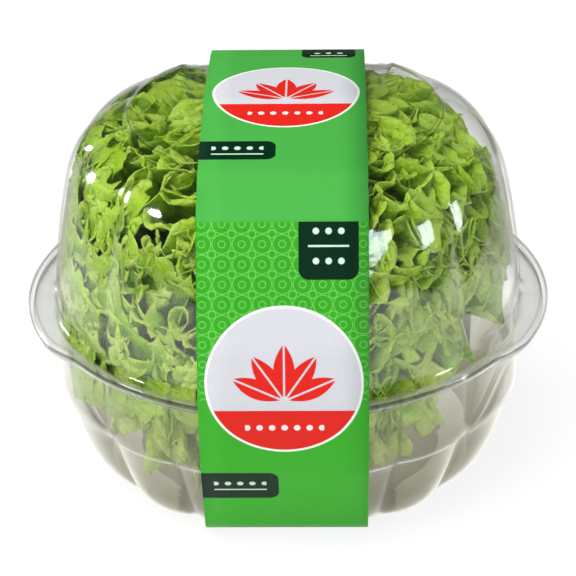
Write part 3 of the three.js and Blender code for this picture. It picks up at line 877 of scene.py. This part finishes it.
def lowest_tilt(azimuth):
    """Degrees from straight up to the lowest leaves at an azimuth."""
    return float(np.interp(azimuth % 360, *zip(*HEAD_LOW)))


def placed(root, tip, roll, size, tone, variant):
    """Where one leaf goes: its root, turn, size, tone and the sheet it is made from."""
    along = Vector(tip - root)
    azimuth = atan2(tip[1], tip[0])
    way = along.normalized()
    across = Vector((-sin(azimuth), cos(azimuth), 0))
    across.rotate(Matrix.Rotation(radians(roll), 3, way))
    face = way.cross(across).normalized()
    basis = Matrix((way.cross(face), way, face)).transposed()
    return root, basis.to_euler(), along.length * size, tone, variant


def leaf_places(first, last):
    """A run of leaves, from the innermost at the top to the lowest."""
    rows = []
    for i in range(first, last):
        turn = i * GOLDEN
        low = 1 - cos(radians(lowest_tilt(turn)))
        tilt = degrees(acos(1 - ((i + 0.6) / LEAVES) ** CROWDING * low))
        tip = head_point(tilt, turn, 0.955 + 0.08 * pick(i, 5))
        bent = tilt * max(1, FULL_HANG / lowest_tilt(turn))
        rise = np.interp(bent, *zip(*LEAF_RISE)) + spread(i, 1, RISE_SPREAD)
        way = round_point(turn + spread(i, 4, HEADING_SPREAD), cos(radians(rise)), sin(radians(rise)))
        root = tip - LEAF_LENGTH * (0.85 + 0.35 * pick(i, 3)) * way
        # Leaves near the top are given a higher tone, paler and yellower: partly the younger leaves' own
        # colour, partly painted light from above; the lowest are paler too
        pale = float(1 - smooth(20, 60, tilt) + smooth(92, 104, tilt))
        tone = min(1, max(0, 0.2 + 0.5 * pick(i, 6) + 0.35 * pale))
        rows.append(placed(root, tip, spread(i, 2, LEAF_ROLL), 1.0, tone, i % LEAF_VARIANTS))
    return rows


def outer_places():
    """The broad outer leaves, which hang down against the wall of the lid."""
    rows = []
    for i, turn in enumerate(OUTER_TURNS):
        low = lowest_tilt(turn) + spread(i, 8, 4)
        tip = head_point(low, turn, TIP_SHARE)
        root = head_point(low - OUTER_DROP, turn, OUTER_ROOT)
        size, tone = 1.0 + 0.15 * pick(i, 11), 0.45 + 0.4 * pick(i, 9)
        variant = LEAF_VARIANTS + i % BROAD_VARIANTS
        rows.append(placed(root, tip, spread(i, 10, OUTER_ROLL), size, tone, variant))
    return rows


def wall_places():
    """Frilled leaves that lie against the lid's wall where the head fills it."""
    rows = []
    for i in range(WALL_LEAVES):
        turn = WALL_FROM + WALL_SPAN * (i + 0.5) / WALL_LEAVES
        tilt = WALL_TOP + WALL_DEEP * ((i * 0.618) % 1)
        tip = head_point(tilt, turn, TIP_SHARE)
        root = head_point(tilt + 25, turn + spread(i, 12, 24), WALL_ROOT)
        tone = 0.3 + 0.5 * pick(i, 13)
        rows.append(placed(root, tip, spread(i, 14, WALL_ROLL), 0.95, tone, i % LEAF_VARIANTS))
    return rows


def tub_places():
    """Pale frilled leaves that hang down into the tub."""
    rows = []
    for i, (turn, out, height) in enumerate(TUB_LEAVES):
        tip = round_point(turn, out, height)
        root = round_point(turn + spread(i, 15, 14), out - 12, height + TUB_LEAF_RISE)
        tone = 0.85 + 0.15 * pick(i, 17)
        rows.append(placed(root, tip, spread(i, 16, TUB_ROLL), 1.05, tone, i % LEAF_VARIANTS))
    return rows


def leaf_tree():
    """A node tree that sets a leaf on every point, turned, sized and toned by the point's own values."""
    tree = bpy.data.node_groups.new("leaves_on_points", "GeometryNodeTree")
    kinds = {"Geometry": "Geometry", "Leaves": "Collection", "Size": "Float", "Surface": "Material"}
    for name, kind in kinds.items():
        tree.interface.new_socket(name, in_out="INPUT", socket_type="NodeSocket" + kind)
    tree.interface.new_socket("Geometry", in_out="OUTPUT", socket_type="NodeSocketGeometry")
    given, out, info, put, scaled, real, paint = [tree.nodes.new(kind) for kind in (
        "NodeGroupInput", "NodeGroupOutput", "GeometryNodeCollectionInfo", "GeometryNodeInstanceOnPoints",
        "ShaderNodeMath", "GeometryNodeRealizeInstances", "GeometryNodeSetMaterial",
    )]
    info.inputs["Separate Children"].default_value = True
    info.inputs["Reset Children"].default_value = True
    put.inputs["Pick Instance"].default_value = True
    scaled.operation = "MULTIPLY"
    targets = (put.inputs["Rotation"], put.inputs["Instance Index"], scaled.inputs[0])
    for name, kind, target in zip(("turn", "variant", "size"), ("FLOAT_VECTOR", "INT", "FLOAT"), targets):
        read = tree.nodes.new("GeometryNodeInputNamedAttribute")
        read.data_type = kind
        read.inputs["Name"].default_value = name
        tree.links.new(next(o for o in read.outputs if o.enabled and o.name == "Attribute"), target)
    for source, output, target, key in (
        (given, "Leaves", info, "Collection"), (given, "Geometry", put, "Points"), (info, 0, put, "Instance"),
        (given, "Size", scaled, 1), (scaled, 0, put, "Scale"), (given, "Surface", paint, "Material"),
        (put, 0, real, "Geometry"), (real, 0, paint, "Geometry"), (paint, 0, out, "Geometry"),
    ):
        tree.links.new(source.outputs[output], target.inputs[key])
    return tree


def grow_leaves(name, rows, tree, variants, material):
    """A tier of leaves: set on their roots, pressed into the pack and given a thickness."""
    roots, turns, sizes, tones, which = zip(*rows)
    holder = make_object(name + "_roots", roots, [])
    write_points(holder, "turn", [tuple(turn) for turn in turns], "FLOAT_VECTOR", "vector")
    write_points(holder, "size", sizes)
    write_points(holder, "tone", tones)
    write_points(holder, "variant", which, "INT")
    modifier = holder.modifiers.new("grow", "NODES")
    modifier.node_group = tree
    sockets = {item.name: item.identifier for item in tree.interface.items_tree if item.in_out == "INPUT"}
    modifier[sockets["Leaves"]] = variants
    modifier[sockets["Size"]] = MM
    modifier[sockets["Surface"]] = material
    made = plain_copy(holder)
    bpy.data.objects.remove(holder)
    points = np.zeros(len(made.vertices) * 3, np.float32)
    made.vertices.foreach_get("co", points)
    pressed = press_leaves(points.reshape(-1, 3).astype(float) / MM) * MM
    made.vertices.foreach_set("co", pressed.astype(np.float32).ravel())
    sheet = add_object(name + "_sheet", made)
    solidify = sheet.modifiers.new("thickness", "SOLIDIFY")
    solidify.thickness = LEAF_THICK * MM
    solidify.offset = 0
    solid = plain_copy(sheet)
    bpy.data.objects.remove(sheet)
    solid.polygons.foreach_set("use_smooth", [True] * len(solid.polygons))
    return add_object(name, solid)


def plain_copy(obj):
    bpy.context.view_layer.update()
    graph = bpy.context.evaluated_depsgraph_get()
    shown = obj.evaluated_get(graph)
    return bpy.data.meshes.new_from_object(shown, preserve_all_data_layers=True, depsgraph=graph)


def leaf_material(name, stops, glow_colour):
    g = Graph(name)
    uv = g.node("UVMap", {"uv_map": "leaf"})
    across, along = g.part(uv, 0), g.part(uv, 1)
    tone = g.node("Attribute", {"attribute_name": "tone"}, output="Fac")
    place = g.place()
    patches = g.noise(place, 70.0, 4.0)
    fine = g.noise(place, 420.0, 3.0)
    out = (abs(across - 0.5) * 2) ** 4
    margin = along.most(out) + (patches - 0.5) * 0.4
    # Dark at the root of a frilled leaf as painted shade; the pale free edge is partly the leaf's own colour,
    # partly painted light through it
    colour = g.ramp(stops, margin)
    # Tone pales or darkens a whole leaf: it differs at random, and its rise at the top of the head is partly
    # painted light
    colour = g.mix((tone - 0.5).most(0.0) * 0.7, colour, rgba(214, 234, 104))
    colour = g.mix((0.5 - tone).most(0.0) * 1.1, colour, rgba(70, 120, 12))
    colour = g.mix(fine * 0.2, colour, rgba(80, 124, 24))
    # Random whitish patches towards the tip: painted sheen
    pale = g.noise(place, 130.0, 3.0, 0.6).above(0.56, 0.12)
    colour = g.mix(pale * along * 0.4, colour, rgba(208, 226, 140))
    # Leaves above 116 mm are mixed towards a bright yellow-green: painted light from above
    lit_top = g.part(place, 2).above(0.116, 0.012)
    colour = g.mix(lit_top * 0.3, colour, rgba(178, 224, 24))
    rib = abs(across - 0.5).below(0.012, 0.012) * (1 - along).most(0.0)
    colour = g.mix(rib * 0.8, colour, rgba(206, 226, 150))
    veins = g.node("TexVoronoi", {"feature": "DISTANCE_TO_EDGE"}, {"Vector": place, "Scale": 230.0})
    crinkle = g.noise(place, 210.0, 3.0, 0.6)
    relief = veins.least(0.25) * 1.1 + crinkle * 1.6
    bump = g.bump(relief, 0.8, 0.0016)
    face = g.matt(colour, fine * 0.2 + 0.26, bump, 0.55)
    glow = g.node("BsdfTranslucent", {}, {"Color": glow_colour, "Normal": bump})
    return g.finish(g.blend(GLOW_SHARE, face, glow))


def core_mesh():
    """The folded inside of the head, from the stem's top up."""
    rings, around = 44, 120
    points = [head_point(0, 0, CORE_SHARE)]
    for i in range(1, rings):
        for c in range(around):
            a = c * 2 * pi / around
            fold = 0.05 * abs(sin(4.5 * a + 1.5 * sin(i * 0.22)))
            fold += 0.02 * sin(13 * a + i * 0.5)
            points.append(head_point(i * 180 / rings, degrees(a), CORE_SHARE * (0.93 + fold)))
    points.append(head_point(180, 0, CORE_SHARE))
    return make_object("head_core", points, skin(rings - 1, around))


def core_material():
    g = Graph("inner_leaf")
    place = g.place()
    patches = g.noise(place, 60.0, 4.0)
    level = (g.part(place, 2) - 0.02) / 0.10 + (patches - 0.5) * 0.3
    # Pale at the foot, and deep green higher up as painted shade in the gaps between the leaves
    return g.finish(g.matt(g.ramp(CORE, level), patches * 0.2 + 0.45, g.bump(patches, 0.6, 0.004)))


def stem_mesh():
    """The cut stem: ribbed where the leaves leave it, flat where it was cut."""
    around = 96
    points = [(0, 0, STEM_ROWS[0][1])]
    for r, z in STEM_ROWS[1:-1]:
        depth = 0.05 * smooth(5, 16, z)
        for c in range(around):
            a = c * 2 * pi / around
            k = r * (1 - depth * (0.5 + 0.5 * cos(9 * a)))
            points.append((k * cos(a), k * sin(a), z))
    points.append((0, 0, STEM_ROWS[-1][1]))
    faces = [(face[0], *face[:0:-1]) for face in skin(len(STEM_ROWS) - 2, around)]
    return make_object("cut_stem", points, faces)


def stem_material():
    g = Graph("stem")
    place = g.place()
    streak = g.noise(g.node("Mapping", {}, {"Vector": place, "Scale": (260, 260, 40)}), 1.0, 3.0)
    level = (g.part(place, 2) - 0.003) / 0.024 + (streak - 0.5) * 0.2
    return g.finish(g.matt(g.ramp(STEM, level), streak * 0.2 + 0.35, g.bump(streak, 0.3, 0.0008)))


# Camera, floor and light


def add_camera():
    data = bpy.data.cameras.new("camera")
    data.lens = CAMERA_LENS
    data.sensor_width = 36
    data.clip_start, data.clip_end = 0.05, 20
    camera = add_object("camera", data)
    turn = Matrix.Rotation(radians(CAMERA_TURN), 4, "Z")
    tilt = Matrix.Rotation(radians(90 - CAMERA_RISE), 4, "X")
    roll = Matrix.Rotation(radians(-CAMERA_ROLL), 4, "Z")
    camera.matrix_world = turn @ Matrix.Translation(Vector(CAMERA_AT) * MM) @ tilt @ roll
    bpy.context.scene.camera = camera


# The bright part of the floor that the plastic mirrors, in metres
TABLE_HALF, TABLE_FRONT, TABLE_BACK, TABLE_EDGE = 0.46, -0.85, 0.12, 0.02
FLOOR_HALF = 3.0
FLOOR_GLOW = 0.85  # how much of the floor that the camera sees is plain white


def add_floor():
    corners = np.array([(-1, -1, 0), (1, -1, 0), (1, 1, 0), (-1, 1, 0)]) * FLOOR_HALF / MM
    ground = make_object("floor", corners, [(0, 1, 2, 3)])
    g = Graph("pale_floor")
    place = g.place()
    colour = g.mix(g.noise(place, 3.0, 2.0) * 0.2, (0.95, 0.95, 0.95, 1), (0.92, 0.92, 0.92, 1))
    lit = g.node("Emission", {}, {"Color": WHITE, "Strength": 1.0})
    white = g.blend(g.ray("Is Camera Ray") * FLOOR_GLOW, g.matt(colour, 0.8), lit)
    ahead = g.part(place, 1)
    inside = abs(g.part(place, 0)).below(TABLE_HALF, TABLE_EDGE) * ahead.above(TABLE_FRONT, TABLE_EDGE)
    inside = inside * (1 - ahead.above(TABLE_BACK, TABLE_EDGE) * 0.55)
    table = g.mix(inside, (0.08, 0.08, 0.08, 1), (1.3, 1.29, 1.24, 1))
    mirrored = g.node("Emission", {}, {"Color": table, "Strength": 1.0})
    ground.data.materials.append(g.finish(g.blend(g.ray("Is Glossy Ray"), white, mirrored)))


LIT_POINT = (0, 0, 0.07)  # metres, where every light points


def add_light(name, at, shape, size, power, mirrored=True, tint=(1, 1, 1)):
    data = bpy.data.lights.new(name, "AREA")
    data.shape = shape
    data.size, data.size_y = size
    data.energy = power
    data.color = tint
    light = add_object(name, data)
    light.location = at
    light.rotation_mode = "QUATERNION"
    light.rotation_quaternion = (Vector(LIT_POINT) - Vector(at)).to_track_quat("-Z", "Y")
    light.visible_glossy = mirrored


# Brightness of what the plastic mirrors, by the sine of the height above the horizon
MIRRORED_ROOM = [
    (0.0, (0.22, 0.22, 0.21)), (0.1, (0.06, 0.06, 0.06)),
    (0.3, (0.03, 0.03, 0.03)), (1.0, (0.02, 0.02, 0.02)),
]
ROOM_LIGHT = 0.38


def add_studio():
    """A white room for the eye and for soft light, and a dark one for mirrored light."""
    g = Graph("studio", bpy.data.worlds)
    room = g.node("Background", {}, {"Color": WHITE, "Strength": ROOM_LIGHT})
    height = g.part(g.node("TexCoord", output="Generated"), 2)
    seen = g.node("ValToRGB", {"stops": MIRRORED_ROOM}, [height])
    mirrored = g.node("Background", {}, {"Color": seen})
    bpy.context.scene.world = g.finish(g.blend(g.ray("Is Glossy Ray"), room, mirrored), "OutputWorld")
    add_light("softbox_right", (1.12, -0.30, 0.20), "RECTANGLE", (0.26, 0.36), 3, tint=(0.85, 0.95, 1.0))
    add_light("lamp_front", (0.078, -1.36, 0.775), "RECTANGLE", (0.12, 0.05), 0.22, tint=(0.78, 0.92, 1.0))
    add_light("lamp_left", (-0.97, -0.26, 0.74), "DISK", (0.21, 0.21), 3)
    add_light("lamp_back_left", (-1.0, 0.62, 0.29), "DISK", (0.21, 0.21), 3)
    add_light("fill_front", (0.0, -1.50, 0.56), "RECTANGLE", (0.62, 0.60), 5, mirrored=False)
    add_light("overhead", (-0.35, -0.25, 1.5), "RECTANGLE", (1.0, 0.9), 25, mirrored=False)
    add_light("fill_left", (-0.9, -1.1, 1.0), "RECTANGLE", (0.9, 0.7), 10, mirrored=False)
    bpy.context.scene.view_settings.view_transform = "Standard"


def build():
    add_camera()
    add_floor()
    add_studio()
    lid_plastic = clear_plastic("clear_lid", hazy_and_shaded=False)
    tub_plastic = clear_plastic("clear_tub", hazy_and_shaded=True)
    lid = shell_mesh("clear_lid", LID_WALL, LID_FLANGE, 1, LID_LINES, LID_VALLEYS)
    tub = shell_mesh("clear_tub", TUB_WALL, TUB_FLANGE, -1, TUB_LINES, TUB_VALLEYS)
    dress(lid, lid_plastic, "clear_plastic", "lid")
    dress(lug_mesh(), lid_plastic, "clear_plastic", "lid")
    dress(tub, tub_plastic, "clear_plastic", "base")
    dress(paper_band(), printed_paper(), "printed_paper", "paper_band")
    dress(stem_mesh(), stem_material(), "stem", "lettuce_stem")
    dress(core_mesh(), core_material(), "leaf", "lettuce_head")
    leaf = leaf_material("frilled_leaf", FRILLED, (0.42, 0.66, 0.04, 1))
    broad = leaf_material("broad_leaf", BROAD, (0.42, 0.66, 0.06, 1))
    pale = leaf_material("pale_leaf", PALE, (0.78, 0.92, 0.34, 1))
    variants = bpy.data.collections.new("leaf_variants")
    sheets = [leaf_variant(i, LEAF_ACROSS, LEAF_ALONG, RUFFLES) for i in range(LEAF_VARIANTS)]
    more = range(LEAF_VARIANTS, LEAF_VARIANTS + BROAD_VARIANTS)
    sheets += [leaf_variant(i, BROAD_ACROSS, BROAD_ALONG, BROAD_RUFFLES) for i in more]
    for sheet in sheets:
        bpy.context.scene.collection.objects.unlink(sheet)
        variants.objects.link(sheet)
    tree = leaf_tree()
    ends = [t * LEAVES // TIERS for t in range(TIERS + 1)]
    grown = [(f"leaves_{t + 1}", leaf_places(ends[t], ends[t + 1]), leaf) for t in range(TIERS)]
    grown += [("wall_leaves", wall_places(), leaf), ("tub_leaves", tub_places(), pale)]
    grown += [("outer_leaves", outer_places(), broad)]
    for name, rows, material in grown:
        dress(grow_leaves(name, rows, tree, variants, material), material, "leaf", "lettuce_head")
    for sheet in sheets:
        bpy.data.objects.remove(sheet)
    bpy.data.collections.remove(variants)
    bpy.data.node_groups.remove(tree)


build()
